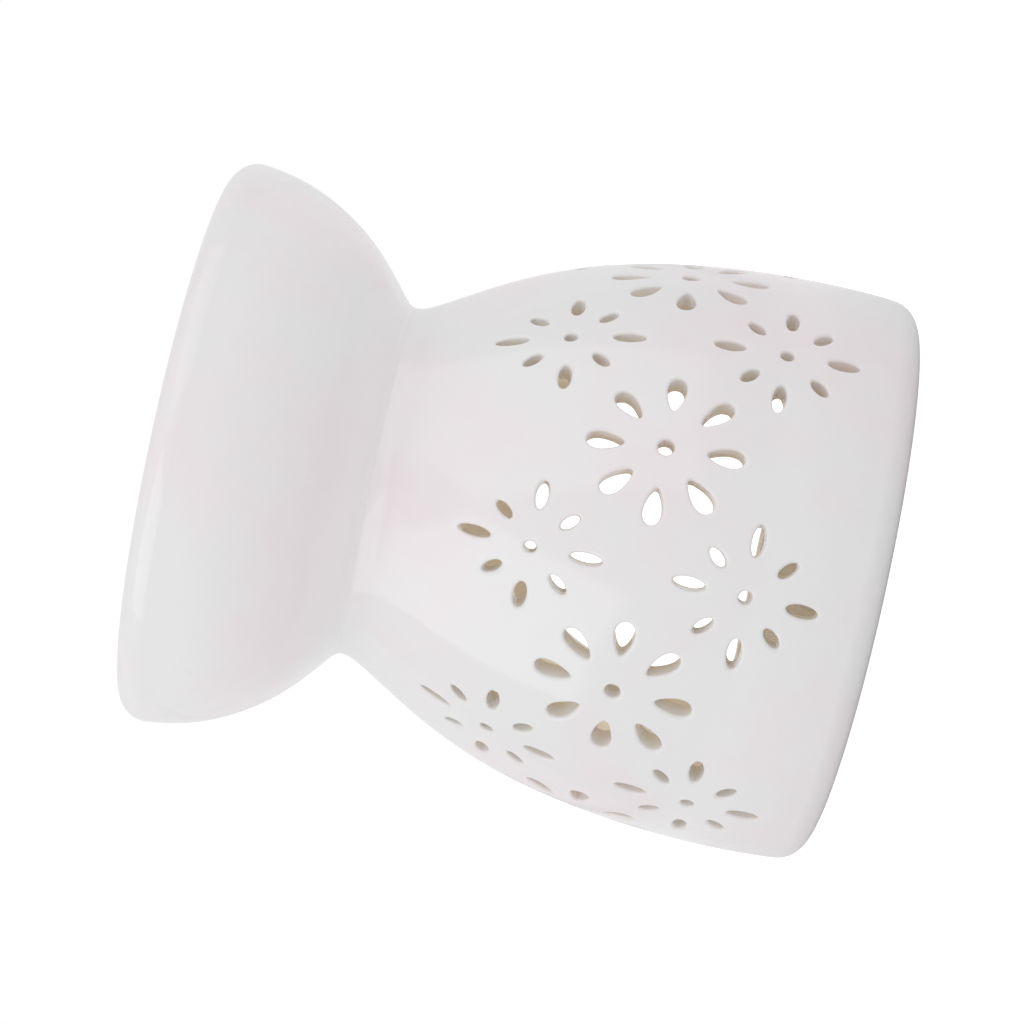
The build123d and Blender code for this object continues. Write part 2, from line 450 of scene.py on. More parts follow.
def add_sheet(builder, radius_at, low, high, rings, guards, outward, finish):
    """Triangulates a wall sheet round its openings. Returns the numbers of its bottom and top
    rows, in order of angle, and of each opening's ring."""
    edge, middle, right = sheet_grid(low, high)
    loose = [ring for ring in guards
             if ring[:, 1].min() > low + SHEET_EDGE_GAP and ring[:, 1].max() < high - SHEET_EDGE_GAP]
    flat = np.concatenate([edge, clear_of_guards(middle, guards)] + loose + rings)
    triangles, starts = triangulate(flat, rings)
    angle, height = flat[:, 0] / CUT_RADIUS, flat[:, 1]
    normals = surface_normals(radius_at, angle, height) * (1 if outward else -1)
    numbers = builder.add(place_round(radius_at(angle, height), angle, height), normals, finish)
    joined = np.arange(len(flat)) - (flat[:, 0] == right)  # each right end is its row's left end
    triangles = numbers[joined[triangles]]
    builder.faces += (triangles if outward else triangles[:, ::-1]).tolist()
    bottom, top = [numbers[end_row(flat, end, right)] for end in (low, high)]
    return bottom, top, [numbers[start:start + len(ring)] for start, ring in zip(starts, rings)]


def column_angles(columns=COLUMNS):
    """Angles of a row's points, from the seam round the pot."""
    return SEAM_ANGLE - FULL_TURN + np.arange(columns) * FULL_TURN / columns


def turn_profile(builder, first_row, profile, flip, finish, last_row=None):
    """Continues a row of points along a profile of (radius, height) points after the row's own.
    It ends at the axis, or at a row that is there already."""
    angle = column_angles()
    profile = np.array(profile, float)
    tangent = np.gradient(profile, axis=0)
    side = 1 if flip else -1
    normal = unit(np.stack([-tangent[:, 1], tangent[:, 0]], -1) * side)
    rows = [first_row]
    for (radius, height), (out, up) in zip(profile[1:-1], normal[1:-1]):
        points, normals = place_round(radius, angle, height), place_round(out, angle, up)
        rows.append(builder.add(points, normals, finish))
    if last_row is None:
        builder.skin(rows, flip)
        builder.cap(rows[-1], (0, 0, profile[-1, 1]), (0, 0, normal[-1, 1]), finish, flip)
    else:
        builder.skin(rows + [last_row], flip)


def rim_rings(place, rounding, inner):
    """Rings that round one edge of an opening, from its wall sheet to the cut, each as (turn,
    points, normals)."""
    rings = []
    for i in range(1, RIM_STEPS + 1):
        turn = math.pi / 2 * i / RIM_STEPS
        offset, depth = rounding * (1 - math.sin(turn)), rounding * (1 - math.cos(turn))
        points, sheet_normals, out = place(offset, depth, inner)
        rings.append((turn, points, math.cos(turn) * sheet_normals - math.sin(turn) * out))
    return rings


def add_opening(builder, outer_ring, inner_ring, place, roundings, flip):
    """Rounded rims and wall of one opening, between its rings in the outer and inner sheets.
    place(offset, depth, inner) gives points, the sheet's normals there and outward directions."""
    outer_rim, inner_rim = rim_rings(place, roundings[0], False), rim_rings(place, roundings[1], True)
    rings = [outer_ring]
    for turn, points, normals in outer_rim:
        rings.append(builder.add(points, normals, RIM_THINNING * math.sin(turn) ** 4))
    _, wall_start, wall_normals = outer_rim[-1]
    _, wall_end, _ = inner_rim[-1]
    for step in range(1, WALL_STEPS + 1):
        share = step / (WALL_STEPS + 1)
        points = wall_start * (1 - share) + wall_end * share
        rings.append(builder.add(points, wall_normals, RIM_THINNING + (1 - RIM_THINNING) * share))
    for _, points, normals in reversed(inner_rim):
        rings.append(builder.add(points, normals, 1))
    builder.skin(rings + [inner_ring], flip)


def flower_place(ring, out):
    """Where the rings of a flower's opening lie: it is cut straight towards the axis."""
    def place(offset, depth, inner):
        spot = ring + out * offset
        angle, height = spot[:, 0] / CUT_RADIUS, spot[:, 1]
        radius_at = inner_radius if inner else outer_radius
        radius = radius_at(angle, height) + (depth if inner else -depth)
        normals = surface_normals(radius_at, angle, height) * (-1 if inner else 1)
        along = np.stack([np.cos(angle), np.sin(angle), 0 * angle], -1)
        outward = out[:, :1] * along + out[:, 1:] * np.array([0, 0, 1])
        return place_round(radius, angle, height), normals, outward
    return place


def arch_sheet_ring(ring, radius_at):
    """The arch's ring in a wall sheet, as (along, height)."""
    x, height = ring[:, 0], ring[:, 1]
    angle = angle_behind(x, radius_at(-math.pi, height))
    angle = angle_behind(x, radius_at(angle, height))
    return np.stack([angle * CUT_RADIUS, height], -1)


def arch_place(ring, out):
    """Where the rings of the arch lie: it is cut straight in from the back."""
    def place(offset, depth, inner):
        radius_at = inner_radius if inner else outer_radius
        spot = ring + out * offset
        sheet = arch_sheet_ring(spot, radius_at)
        angle, height = sheet[:, 0] / CUT_RADIUS, sheet[:, 1]
        points = place_round(radius_at(angle, height), angle, height)
        points[:, 1] += depth if inner else -depth
        normals = surface_normals(radius_at, angle, height) * (-1 if inner else 1)
        outward = np.stack([out[:, 0], 0 * angle, out[:, 1]], -1)
        return points, normals, outward
    return place


def underside_profile():
    """From the foot's outer corner under the standing ring and over the recess to the axis."""
    foot_middle = (FOOT_RADIUS - FOOT_CORNER, FOOT_CORNER)
    ring_inside = foot_middle[0] - FOOT_RING_WIDTH
    step = [(ring_inside - inward, up) for inward, up in RECESS_STEP]
    profile = arc_points(foot_middle, FOOT_CORNER, -math.degrees(FOOT_LEAN), -90, 14)
    profile += [(radius, 0) for radius in np.linspace(foot_middle[0], step[0][0], 6)[1:]]
    profile += step[1:-1]
    return profile + [(radius, FOOT_RECESS) for radius in np.linspace(step[-1][0], 0, 9)]


def floor_profile():
    """From the foot of the chamber's inside, round its corner and over its floor to the axis."""
    corner_middle = (float(chamber_inside(INNER_FOOT_TOP)) - FLOOR_CORNER, INNER_FOOT_TOP)
    corner = arc_points(corner_middle, FLOOR_CORNER, 0, -90, 10)
    return corner + [(radius, FLOOR_TOP) for radius in np.linspace(corner_middle[0], 0, 14)[1:]]


def chamber_top_profile():
    """The chamber's top edge, from its outside to its inside."""
    inside = float(chamber_inside(SHEET_TOP))
    outer = arc_points((WAIST_RADIUS - SEAM_ROUNDING, SHEET_TOP), SEAM_ROUNDING, 0, 90, 4)
    return outer + arc_points((inside + SEAM_ROUNDING, SHEET_TOP), SEAM_ROUNDING, 90, 180, 4)


def pierced_chamber(material):
    """Bell-shaped chamber: an outer and an inner wall sheet joined through every opening."""
    builder = Builder()
    flowers = all_flowers()
    arch, arch_out = arch_ring()

    def sheet(radius_at, low, rounding, outward, finish):
        """One wall sheet, with its openings widened by the rounding of their rims."""
        rings = [ring + out * rounding for ring, out in flowers]
        rings.append(arch_sheet_ring(arch + arch_out * ARCH_ROUNDING, radius_at))
        guards = [(ring + out * (rounding + GUARD_GAP))[::2] for ring, out in flowers]
        arch_guard = arch + arch_out * (ARCH_ROUNDING + 2 * GUARD_GAP)
        guards.append(arch_sheet_ring(arch_guard, radius_at)[::2])
        return add_sheet(builder, radius_at, low, SHEET_TOP, rings, guards, outward, finish)

    outer_bottom, outer_top, outer_rings = sheet(outer_radius, FOOT_TOP, RIM_ROUNDING, True, 0)
    inner_bottom, inner_top, inner_rings = sheet(
        inner_radius, INNER_FOOT_TOP, INNER_RIM_ROUNDING, False, 1)
    for number, (ring, out) in enumerate(flowers):
        add_opening(builder, outer_rings[number], inner_rings[number], flower_place(ring, out),
                    (RIM_ROUNDING, INNER_RIM_ROUNDING), False)
    add_opening(builder, outer_rings[-1], inner_rings[-1], arch_place(arch, arch_out),
                (ARCH_ROUNDING, ARCH_ROUNDING), True)
    turn_profile(builder, outer_bottom, underside_profile(), True, 0)
    turn_profile(builder, inner_bottom, floor_profile(), False, 1)
    turn_profile(builder, outer_top, chamber_top_profile(), False, 1, inner_top)
    return builder.piece("glazed_chamber", material)


def turned_piece(name, profile, material, columns, change):
    """Closed solid of revolution from a profile that starts and ends on the axis. change moves
    the grid of points before the normals are worked out."""
    profile = np.array(profile, float)
    angle = column_angles(columns)
    inner = profile[1:-1]
    grid_radius, grid_angle = np.meshgrid(inner[:, 0], angle, indexing="ij")
    grid_height = np.repeat(inner[:, 1:], columns, 1)
    grid_radius, grid_height = change(grid_radius, grid_angle, grid_height)
    grid = place_round(grid_radius, grid_angle, grid_height)
    across = np.roll(grid, -1, 1) - np.roll(grid, 1, 1)
    ends = [np.tile((0, 0, profile[i, 1]), (1, columns, 1)) for i in (0, -1)]
    full = np.concatenate([ends[0], grid, ends[1]])
    along = full[2:] - full[:-2]
    normals = unit(np.cross(across, along))
    builder = Builder()
    rows = [builder.add(points, directions, 0) for points, directions in zip(grid, normals)]
    builder.skin(rows)
    for end, flip in ((0, True), (-1, False)):
        up = np.sign(normals[end, 0, 2])
        builder.cap(rows[end], (0, 0, profile[end, 1]), (0, 0, up), flip=flip)
    return builder.piece(name, material)


def hermite(start, start_way, end, end_way, steps):
    """Points of a smooth plane curve from one point and direction to another."""
    t = np.linspace(0, 1, steps + 1)[:, None]
    start, end = np.array(start, float), np.array(end, float)
    length = np.linalg.norm(end - start)
    curve = cubic(t, start, np.array(start_way) * length, end, np.array(end_way) * length)
    return [tuple(point) for point in curve]


def dish_profile(outside, lip_foot, lip_middle):
    """Inside of the bowl, from under its lip down to the middle of the dish."""
    side = inset_curve(outside, BOWL_WALL, BOWL_FLOOR_EDGE, lip_foot)
    outer, reach = float(outside(BOWL_FLOOR_EDGE)), 0.1
    slope = (float(outside(BOWL_FLOOR_EDGE + reach)) - outer) / reach
    length = math.hypot(1, slope)
    edge = (outer - BOWL_WALL / length, BOWL_FLOOR_EDGE + BOWL_WALL * slope / length)
    fall = []
    for height in np.linspace(lip_middle[1], edge[1], 40)[1:]:
        share = smooth_step((height - lip_middle[1] + LIP_BLEND) / LIP_BLEND)
        lip_inside = lip_middle[0] - LIP_INNER_CORNER
        fall.append((float(side(height)) * (1 - share) + lip_inside * share, height))
    dish = hermite(edge, (-slope / length, -1 / length), (0, WAIST_HEIGHT + BOWL_FLOOR), (-1, 0), 26)
    return fall + dish[1:]


def bowl_profile():
    """Bowl from the middle of its base, up its outside, over the lip and down into the dish."""
    lip_middle = (RIM_RADIUS - LIP_CORNER, TOTAL_HEIGHT - LIP_CORNER)
    lip = arc_points(lip_middle, LIP_CORNER, -math.degrees(RIM_LEAN), 90, 16)
    lip_foot = lip[0][1]
    outline = [(WAIST_RADIUS, WAIST_HEIGHT), *BOWL_POINTS, lip[0]]
    outside = radius_curve(outline, 0, math.tan(RIM_LEAN))
    seam_middle = (WAIST_RADIUS - SEAM_ROUNDING, WAIST_HEIGHT + SEAM_ROUNDING)
    base = [(radius, WAIST_HEIGHT) for radius in np.linspace(0, seam_middle[0], 8)]
    base += arc_points(seam_middle, SEAM_ROUNDING, -90, 0, 4)[1:]
    rise = [(float(outside(height)), height) for height in np.linspace(seam_middle[1], lip_foot, 56)]
    inner_middle = (lip_middle[0], TOTAL_HEIGHT - LIP_INNER_CORNER)
    inner_lip = arc_points(inner_middle, LIP_INNER_CORNER, 90, 180, 8)
    return base + rise[1:] + lip[1:] + inner_lip[1:] + dish_profile(outside, lip_foot, inner_middle)


def oil_bowl(material):
    """The bowl, as uneven as the chamber's wall."""
    def uneven(radius, angle, height):
        return radius + wander(angle + 2, height, WAIST_HEIGHT, TOTAL_HEIGHT), height
    return turned_piece("glazed_bowl", bowl_profile(), material, COLUMNS, uneven)


# Tealight, with heights above the underside of its cup
CUP_RADIUS = cad_size("tealight_cup", 1, 0)
CUP_HEIGHT = cad_size("tealight_cup", 1, 2) - FLOOR_TOP
CUP_BASE_RADIUS = 17.8
CUP_BASE_CORNER = 0.8
# The base's outside as (radius, height), from its raised middle to its flat ring
CUP_BASE = [(0, 0.25), (7.0, 0.25), (7.6, 0.2), (8.0, 0.05), (8.4, 0), (12.0, 0), (15.0, 0)]
CUP_FLOOR = [(15.0, 0), (10.0, 0.02), (5.0, 0.26), (0, 0.26)]  # and its inside, above the sheet
CUP_SHEET = 0.3
CUP_ROLL = 0.45
CUP_COLUMNS = 288
PLEATS = 72  # fine upright folds that drawing leaves in the cup's side
PLEAT_DEPTH = 0.07
WAX_BOTTOM = CUP_SHEET + 0.3
WAX_UNDERSIDE = [(0, 0), (8.0, 0), (15.0, 0), (16.6, 0.15), (17.1, 0.7)]  # (radius, above its bottom)
WAX_SIDE_FOOT = 1.8
WAX_CLEARANCE = 0.04  # between the wax and the cup's side
WAX_LEVEL = 9.6
WAX_SINK = 0.7
WAX_CLIMB = 0.35  # how far the wax climbs the cup's side
WAX_CLIMB_REACH = 0.55
WAX_CONE = 0.45  # how far the wax climbs the wick
WAX_CONE_RADIUS = 1.5
WAX_COLUMNS = 144
WICK_RADIUS = 0.8
WICK_FOOT = 0.75
WICK_TOP = cad_size("wick", 1, 2) - FLOOR_TOP
WICK_STRANDS = 3
STRAND_RADIUS = 0.34
STRAND_STAGGER = 0.25  # how much lower each strand ends than the one before
BRAID_PITCH = 3.2
BRAID_FLATNESS = 0.6
WICK_LEAN = 0.35
WICK_STEPS = 110
TUBE_SIDES = 14
TUBE_END = 0.6  # size of a tube's end rings, and how far its tips reach past them, to its radius
TUBE_TIP = 0.25


def raised(profile):
    """The profile moved up from the cup's underside to where the tealight stands."""
    return [(radius, height + FLOOR_TOP) for radius, height in profile]


def cup_side_radius(height):
    """Outside of the cup's tapered side."""
    top_radius, top = CUP_RADIUS - 2 * CUP_ROLL + CUP_SHEET, CUP_HEIGHT - CUP_ROLL
    share = (height - CUP_BASE_CORNER) / (top - CUP_BASE_CORNER)
    return CUP_BASE_RADIUS + (top_radius - CUP_BASE_RADIUS) * share


def cup_profile():
    """Drawn cup: stamped base, pleated side, rolled edge, then down inside to the base."""
    corner_middle = (CUP_BASE_RADIUS - CUP_BASE_CORNER, CUP_BASE_CORNER)
    roll_middle = (CUP_RADIUS - CUP_ROLL, CUP_HEIGHT - CUP_ROLL)
    corner = arc_points(corner_middle, CUP_BASE_CORNER, -90, 0, 6)
    heights = np.linspace(CUP_BASE_CORNER, roll_middle[1] - CUP_ROLL - 0.1, 22)[1:]
    side = [(cup_side_radius(height), height) for height in heights]
    roll = arc_points(roll_middle, CUP_ROLL, -80, 200, 14)
    inner_heights = np.linspace(roll_middle[1] - 0.35, CUP_BASE_CORNER, 12)
    inside = [(cup_side_radius(height) - CUP_SHEET, height) for height in inner_heights]
    inner_corner = arc_points(corner_middle, CUP_BASE_CORNER - CUP_SHEET, 0, -90, 5)[1:]
    floor = [(radius, CUP_SHEET + height) for radius, height in CUP_FLOOR]
    return raised(CUP_BASE + corner + side + roll + inside + inner_corner + floor)


def tealight_cup(material):
    """The foil cup, with its side drawn in where it is pleated."""
    low, high = FLOOR_TOP + CUP_BASE_CORNER + 1, FLOOR_TOP + CUP_HEIGHT - 2.5 * CUP_ROLL

    def pleat(radius, angle, height):
        fade = smooth_step((height - low) / 2) * smooth_step((high - height) / 1.2)
        fade = fade * smooth_step((radius - 15) / 2)
        fold = 0.5 + 0.5 * np.cos(PLEATS * angle + 0.8 * np.sin(3 * angle))
        return radius - PLEAT_DEPTH * fold**2 * fade, height

    return turned_piece("foil_cup", cup_profile(), material, CUP_COLUMNS, pleat)


def wax_profile():
    """Wax from the middle of its underside, up the cup's side and over its sunken top."""
    inset = CUP_SHEET + WAX_CLEARANCE
    level = WAX_LEVEL + WAX_CLIMB
    under = [(radius, WAX_BOTTOM + height) for radius, height in WAX_UNDERSIDE]
    side_heights = np.linspace(WAX_SIDE_FOOT, level - 0.05, 10)
    side = [(cup_side_radius(height) - inset, height) for height in side_heights]
    edge = cup_side_radius(level) - inset
    top = [(edge - 0.05, level)]
    for radius in np.linspace(edge - 0.25, WICK_RADIUS * 0.7, 46):
        climb = WAX_CLIMB * math.exp(-(edge - radius) / WAX_CLIMB_REACH)
        sink = WAX_SINK * math.sin(math.pi * min(1, radius / edge)) ** 2
        cone = WAX_CONE * math.exp(-((radius / WAX_CONE_RADIUS) ** 2))
        top.append((radius, WAX_LEVEL + climb - sink + cone))
    return raised(under + side + top + [(0, top[-1][1] + 0.02)])


def tealight_wax(material):
    """The wax, with a faint ripple on its top."""
    def set_unevenly(radius, angle, height):
        share = smooth_step((height - FLOOR_TOP - 8) / 0.6) * smooth_step((17.5 - radius) / 1.5)
        ripple = 0.03 * np.sin(2 * angle + radius / 3) + 0.02 * np.sin(5 * angle - radius / 1.7)
        return radius, height + ripple * share * smooth_step((radius - 1) / 3)
    return turned_piece("poured_wax", wax_profile(), material, WAX_COLUMNS, set_unevenly)


def strand_path(number, bottom, top):
    """Middle line of one strand of a flat plait that leans a little towards its tip."""
    t = np.linspace(0, 1, WICK_STEPS)
    height = bottom + (top - bottom) * t
    phase = FULL_TURN * (height / BRAID_PITCH + number / WICK_STRANDS)
    lean = WICK_LEAN * smooth_step((t - 0.55) / 0.45)
    x = (WICK_RADIUS - STRAND_RADIUS) * np.sin(phase) + lean
    y = BRAID_FLATNESS * (WICK_RADIUS - STRAND_RADIUS) * np.sin(2 * phase)
    return np.stack([x, y, height], -1)


def tube(builder, path, radius):
    """Closed round tube along a rising path, with rounded ends."""
    ways = unit(np.gradient(path, axis=0))
    across = unit(np.cross(ways, (0, 1, 0)))
    beside = np.cross(ways, across)
    turn = np.arange(TUBE_SIDES) * FULL_TURN / TUBE_SIDES
    sizes = np.full(len(path), radius)
    sizes[[0, -1]] = radius * TUBE_END
    rows = []
    for middle, first, second, size in zip(path, across, beside, sizes):
        spokes = np.cos(turn)[:, None] * first + np.sin(turn)[:, None] * second
        rows.append(builder.add(middle + spokes * size, spokes, 0))
    builder.skin(rows)
    for end, way, flip in ((0, -ways[0], True), (-1, ways[-1], False)):
        builder.cap(rows[end], path[end] + way * radius * TUBE_TIP, way, flip=flip)


def wick(material):
    """Plaited wick, whose strands end one below the other."""
    builder = Builder()
    top = FLOOR_TOP + WICK_TOP - 0.15
    for number in range(WICK_STRANDS):
        path = strand_path(number, FLOOR_TOP + WICK_FOOT, top - STRAND_STAGGER * number)
        tube(builder, path, STRAND_RADIUS)
    return builder.piece("plaited_wick", material)


# Materials

def node(tree, kind, inputs=(), **settings):
    """Adds a node, sets its settings, and fills inputs given as {socket: value or output}."""
    made = tree.nodes.new("ShaderNode" + kind)
    for name, value in settings.items():
        setattr(made, name, value)
    for socket, value in dict(inputs).items():
        if isinstance(value, bpy.types.NodeSocket):
            tree.links.new(value, made.inputs[socket])
        else:
            made.inputs[socket].default_value = value
    return made


def math_node(tree, operation, first, second=0.0, clamp=False):
    """Result of one operation on one or two values."""
    inputs = {0: first, 1: second}
    return node(tree, "Math", inputs, operation=operation, use_clamp=clamp).outputs[0]


def times(tree, first, second):
    """One value times another."""
    return math_node(tree, "MULTIPLY", first, second)


def mix_colours(tree, share, first, second):
    """A colour between two, each given as a colour or an output."""
    colours = {socket: value if isinstance(value, bpy.types.NodeSocket) else (*value, 1)
               for socket, value in ((6, first), (7, second))}
    return node(tree, "Mix", {0: share, **colours}, data_type="RGBA").outputs[2]


def new_material(name):
    """Empty node material. Returns it, its tree, its shader, and the place on the piece in metres."""
    material = bpy.data.materials.new(name)
    material.use_nodes = True
    tree = material.node_tree
    return material, tree, tree.nodes["Principled BSDF"], node(tree, "TexCoord").outputs["Object"]


def stretched(tree, place, rise):
    """The place with its height scaled, for a pattern that is drawn out upwards."""
    return node(tree, "Mapping", {"Vector": place, "Scale": (1, 1, rise)}).outputs[0]


def noise(tree, place, scale, detail, roughness=0.5):
    """Soft random pattern from 0 to 1, with about scale patches to a metre."""
    inputs = {"Vector": place, "Scale": scale, "Detail": detail, "Roughness": roughness}
    return node(tree, "TexNoise", inputs).outputs["Fac"]


def cells(tree, place, scale):
    """Distance to the nearest of many scattered points, as a share of their spacing."""
    return node(tree, "TexVoronoi", {"Vector": place, "Scale": scale}).outputs["Distance"]


def spread(tree, value, source, result):
    """Maps a value from one range (low, high) to another, clamped."""
    inputs = {"Value": value, "From Min": source[0], "From Max": source[1],
              "To Min": result[0], "To Max": result[1]}
    return node(tree, "MapRange", inputs).outputs["Result"]


def bump(tree, height, strength, distance, under=None):
    """Normals of a relief of that height, on top of another relief if one is given."""
    inputs = {"Height": height, "Strength": strength, "Distance": distance * MM}
    if under is not None:
        inputs["Normal"] = under
    return node(tree, "Bump", inputs).outputs["Normal"]


def finish_shader(tree, shader, colour, roughness, normal, **values):
    """Joins the worked-out looks to the shader and sets its other inputs, named with _ for a space."""
    for socket, output in (("Base Color", colour), ("Roughness", roughness), ("Normal", normal)):
        tree.links.new(output, shader.inputs[socket])
    for name, value in values.items():
        shader.inputs[name.replace("_", " ")].default_value = value


GLAZE = (0.815, 0.812, 0.812)
PINK_GLAZE = (0.835, 0.778, 0.796)
THIN_GLAZE = (0.89, 0.81, 0.695)
# Painted light: a lighter colour in a band round the waist, put over the shade that falls in the
# crease
WAIST_PAINTED_LIGHT = (0.885, 0.865, 0.868)
BARE_CLAY = (0.76, 0.70, 0.61)
SPECK = (0.60, 0.54, 0.46)
WAIST_LIGHT_HEIGHT = WAIST_HEIGHT + 2
WAIST_LIGHT_REACH = (4, 8)  # how far the painted light round the waist reaches above and below, at least and at most
WIPED_HEIGHT = (0.02, 0.12)  # the glaze is wiped off below the first and whole above the second
CLOUD_SHIFT = (0.76, -0.81, -0.73)  # moves the pink clouds to about where the photograph has them


def glaze_colour(tree, place, height, thin, wiped):
    """White with faint pink clouds, warm where thin, painted lighter round the waist over the crease's
    shade, with a few specks.
    """
    cloud_place = node(tree, "VectorMath", {0: place, 1: CLOUD_SHIFT}, operation="ADD").outputs[0]
    clouds = spread(tree, noise(tree, cloud_place, 32, 3, 0.6), (0.42, 0.6), (0, 1))
    colour = mix_colours(tree, clouds, GLAZE, PINK_GLAZE)
    colour = mix_colours(tree, thin, colour, THIN_GLAZE)

    # Painted light: the colour is made lighter in a band round the waist, over the crease's shade
    from_waist_light = math_node(tree, "ABSOLUTE", math_node(tree, "SUBTRACT", height, WAIST_LIGHT_HEIGHT * MM))
    reach = (WAIST_LIGHT_REACH[0] * MM, WAIST_LIGHT_REACH[1] * MM)
    waist_light_edge = spread(tree, noise(tree, place, 60, 2), (0.35, 0.7), reach)
    waist_light_share = math_node(tree, "DIVIDE", from_waist_light, waist_light_edge)
    waist_light_share = math_node(tree, "SUBTRACT", 1.0, waist_light_share, clamp=True)
    colour = mix_colours(tree, times(tree, waist_light_share, 0.7), colour, WAIST_PAINTED_LIGHT)
    colour = mix_colours(tree, wiped, colour, BARE_CLAY)

    chosen = spread(tree, noise(tree, place, 90, 0), (0.68, 0.72), (0, 1))
    dots = spread(tree, cells(tree, place, 260), (0.02, 0.06), (1, 0))
    speck = times(tree, dots, chosen)
    return mix_colours(tree, times(tree, speck, 0.4), colour, SPECK)


def glazed_ceramic(name):
    """White gloss glaze. It is thin and warm inside and on cut edges, is painted lighter round
    the waist to lift the shade of its crease, and is wiped off under the foot."""
    material, tree, shader, place = new_material(name)
    height = node(tree, "SeparateXYZ", {0: place}).outputs["Z"]
    thin = node(tree, "Attribute", attribute_name="thin_glaze").outputs["Fac"]
    wiped = spread(tree, height, (WIPED_HEIGHT[0] * MM, WIPED_HEIGHT[1] * MM), (1, 0))
    gloss = spread(tree, noise(tree, place, 130, 3), (0.3, 0.7), (0.07, 0.12))
    rough = math_node(tree, "MAXIMUM", gloss, times(tree, thin, 0.35))
    rough = math_node(tree, "MAXIMUM", rough, times(tree, wiped, 0.75))
    peel = bump(tree, noise(tree, place, 240, 1), 0.4, 0.03)
    grain = times(tree, noise(tree, place, 2500, 2), math_node(tree, "ADD", wiped, 0.05))
    finish_shader(tree, shader, glaze_colour(tree, place, height, thin, wiped), rough,
                  bump(tree, grain, 0.4, 0.12, peel), IOR=1.6)
    return material


def drawn_aluminium(name):
    """Bright foil with fine upright drawing lines and small dents."""
    material, tree, shader, place = new_material(name)
    lines = noise(tree, stretched(tree, place, 0.08), 1800, 3)
    colour = mix_colours(tree, noise(tree, place, 220, 3), (0.80, 0.81, 0.82), (0.88, 0.88, 0.88))
    dents = bump(tree, noise(tree, place, 420, 1), 0.35, 0.12)
    finish_shader(tree, shader, colour, spread(tree, lines, (0.3, 0.7), (0.2, 0.38)),
                  bump(tree, lines, 0.3, 0.04, dents), Metallic=1.0)
    return material


def paraffin_wax(name):
    """White wax, slightly clear at its thin edge, with the faint crystals of a slow set."""
    material, tree, shader, place = new_material(name)
    crystals = cells(tree, place, 700)
    colour = mix_colours(tree, noise(tree, place, 250, 4), (0.83, 0.82, 0.77), (0.90, 0.89, 0.86))
    soft = bump(tree, noise(tree, place, 350, 2), 0.3, 0.15)
    finish_shader(tree, shader, colour, spread(tree, crystals, (0, 0.6), (0.32, 0.5)),
                  bump(tree, crystals, 0.15, 0.03, soft), Subsurface_Weight=0.3,
                  Subsurface_Radius=(0.004, 0.003, 0.002), Subsurface_Scale=1.0)
    return material


def waxed_cotton(name):
    """Cotton yarn with fine twisted fibres, stiffened by wax."""
    material, tree, shader, place = new_material(name)
    fibres = noise(tree, stretched(tree, place, 0.2), 5200, 4)
    colour = mix_colours(tree, fibres, (0.70, 0.66, 0.57), (0.90, 0.88, 0.82))
    finish_shader(tree, shader, colour, spread(tree, fibres, (0.3, 0.7), (0.55, 0.85)),
                  bump(tree, fibres, 0.6, 0.08))
    return material


def tinned_steel(name):
    """Stamped sheet with ring-shaped tool marks."""
    material, tree, shader, place = new_material(name)
    rings = node(tree, "TexWave", {"Vector": place, "Scale": 900.0, "Distortion": 1.5},
                 wave_type="RINGS", rings_direction="Z").outputs["Fac"]
    colour = mix_colours(tree, noise(tree, place, 300, 3), (0.52, 0.52, 0.52), (0.66, 0.66, 0.64))
    finish_shader(tree, shader, colour, spread(tree, rings, (0, 1), (0.28, 0.42)),
                  bump(tree, rings, 0.2, 0.02), Metallic=1.0)
    return material


# The object

def build_object():
    """Makes the pieces, and gives the sustainer, whose CAD shape is right, its metal."""
    chamber = pierced_chamber(glazed_ceramic("chamber_gloss"))
    pieces = [
        (chamber, "pierced_chamber", "holder", "chamber_glaze"),
        (oil_bowl(glazed_ceramic("bowl_gloss")), "oil_bowl", "holder", "bowl_glaze"),
        (tealight_cup(drawn_aluminium("drawn_foil")), "tealight_cup", "tealight", "cup_aluminium"),
        (tealight_wax(paraffin_wax("paraffin")), "tealight_wax", "tealight", "candle_wax"),
        (wick(waxed_cotton("waxed_cotton")), "wick", "tealight", "wick_cotton"),
    ]
    for piece, cad_node, body, slot in pieces:
        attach(piece, body)
        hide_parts(cad_node)
    steel = tinned_steel("tinned_steel")
    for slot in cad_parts["wick_sustainer"].material_slots:
        slot.material = steel


# Stage, camera and light

CAMERA_ANGLE = math.radians(6.84)  # to the right of the front
CAMERA_DISTANCE = 562.0
CAMERA_HEIGHT = 61.05
CAMERA_SIDE = -0.4  # sideways from the axis
CAMERA_ROLL = math.radians(-77.8)  # the photograph shows the pot lying down, its bowl to the left
CAMERA_LENS = 113.77
CAMERA_REACH = 20  # furthest distance it sees, in metres

# The floor and the lights, with lengths in metres
FLOOR_RADIUS = 4.0
FLOOR_SIDES = 96
GLOW_DISTANCE = (0.08, 0.35)  # distances from the axis between which the floor's glow rises
FLOOR_GLOW = (0.21, 0.34)  # the glow at these distances, as the pot is lit by it
FLOOR_SEEN = 0.9  # the glow that the camera sees
WORLD_LIGHT = 0.725
WORLD_SEEN = 1.0
# Lights as (name, angle from the camera, angle up from the level, distance, size, radiance, mirrored)
SOFT_LIGHTS = [
    ("left_softbox", -50, 38, 0.9, (0.95, 0.75), 0.73, True),
    ("right_softbox", 52, 35, 0.9, (1.15, 0.95), 0.41, True),
    ("left_fill", -100, 34, 0.9, (0.8, 0.8), 0.16, False),
    ("rear_wall", 180, 24, 1.6, (4.2, 1.4), 0.1, True),
]
ARCH_LIGHT = 2.4
ARCH_LIGHT_SIZE = (0.044, 0.034)
ARCH_LIGHT_PLACE = (0, 0.034, 0.038)


